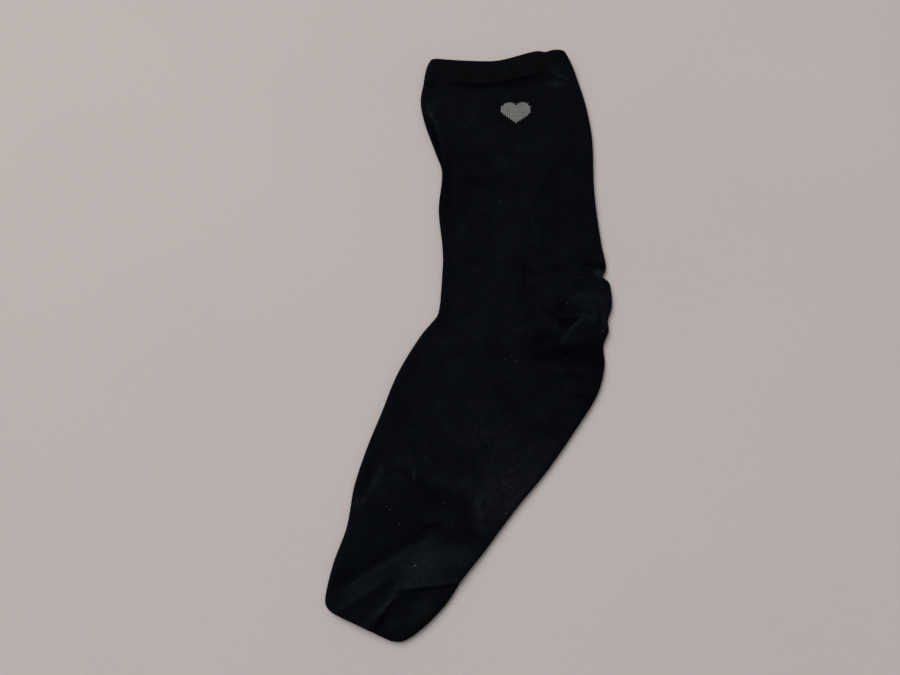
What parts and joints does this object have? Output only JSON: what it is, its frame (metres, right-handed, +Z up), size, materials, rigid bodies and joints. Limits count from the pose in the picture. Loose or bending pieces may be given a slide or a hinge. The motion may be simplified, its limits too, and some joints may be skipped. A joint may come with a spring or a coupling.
{
  "type": "holey sock",
  "caption": "Dark cotton crew sock lying flat on its side, with a turned cuff band, a small grey heart and worn holes at heel and ball.",
  "frame": {"origin": "middle of the footprint, on the surface that the sock lies on", "axes": "+Z up from that surface, +Y from the toe to the cuff, +X to the heel side"},
  "size_m": [0.1528, 0.3463, 0.0058],
  "materials": {
    "welt_knit": "near-black cotton band, turned double, fine knit, matt with a faint nap",
    "body_knit": "near-black fine single-jersey cotton, matt, faded and fuzzy with wear under the ball",
    "heel_knit": "near-black cotton knit, creased, worn through",
    "toe_knit": "near-black cotton knit, creased and slightly faded",
    "heart_yarn": "light grey cotton stitches knitted into the leg"
  },
  "bodies": {
    "root": {"welt": "welt_knit", "leg_foot": "body_knit", "heel": "heel_knit", "toe": "toe_knit", "heart": "heart_yarn"}
  },
  "joints": []
}
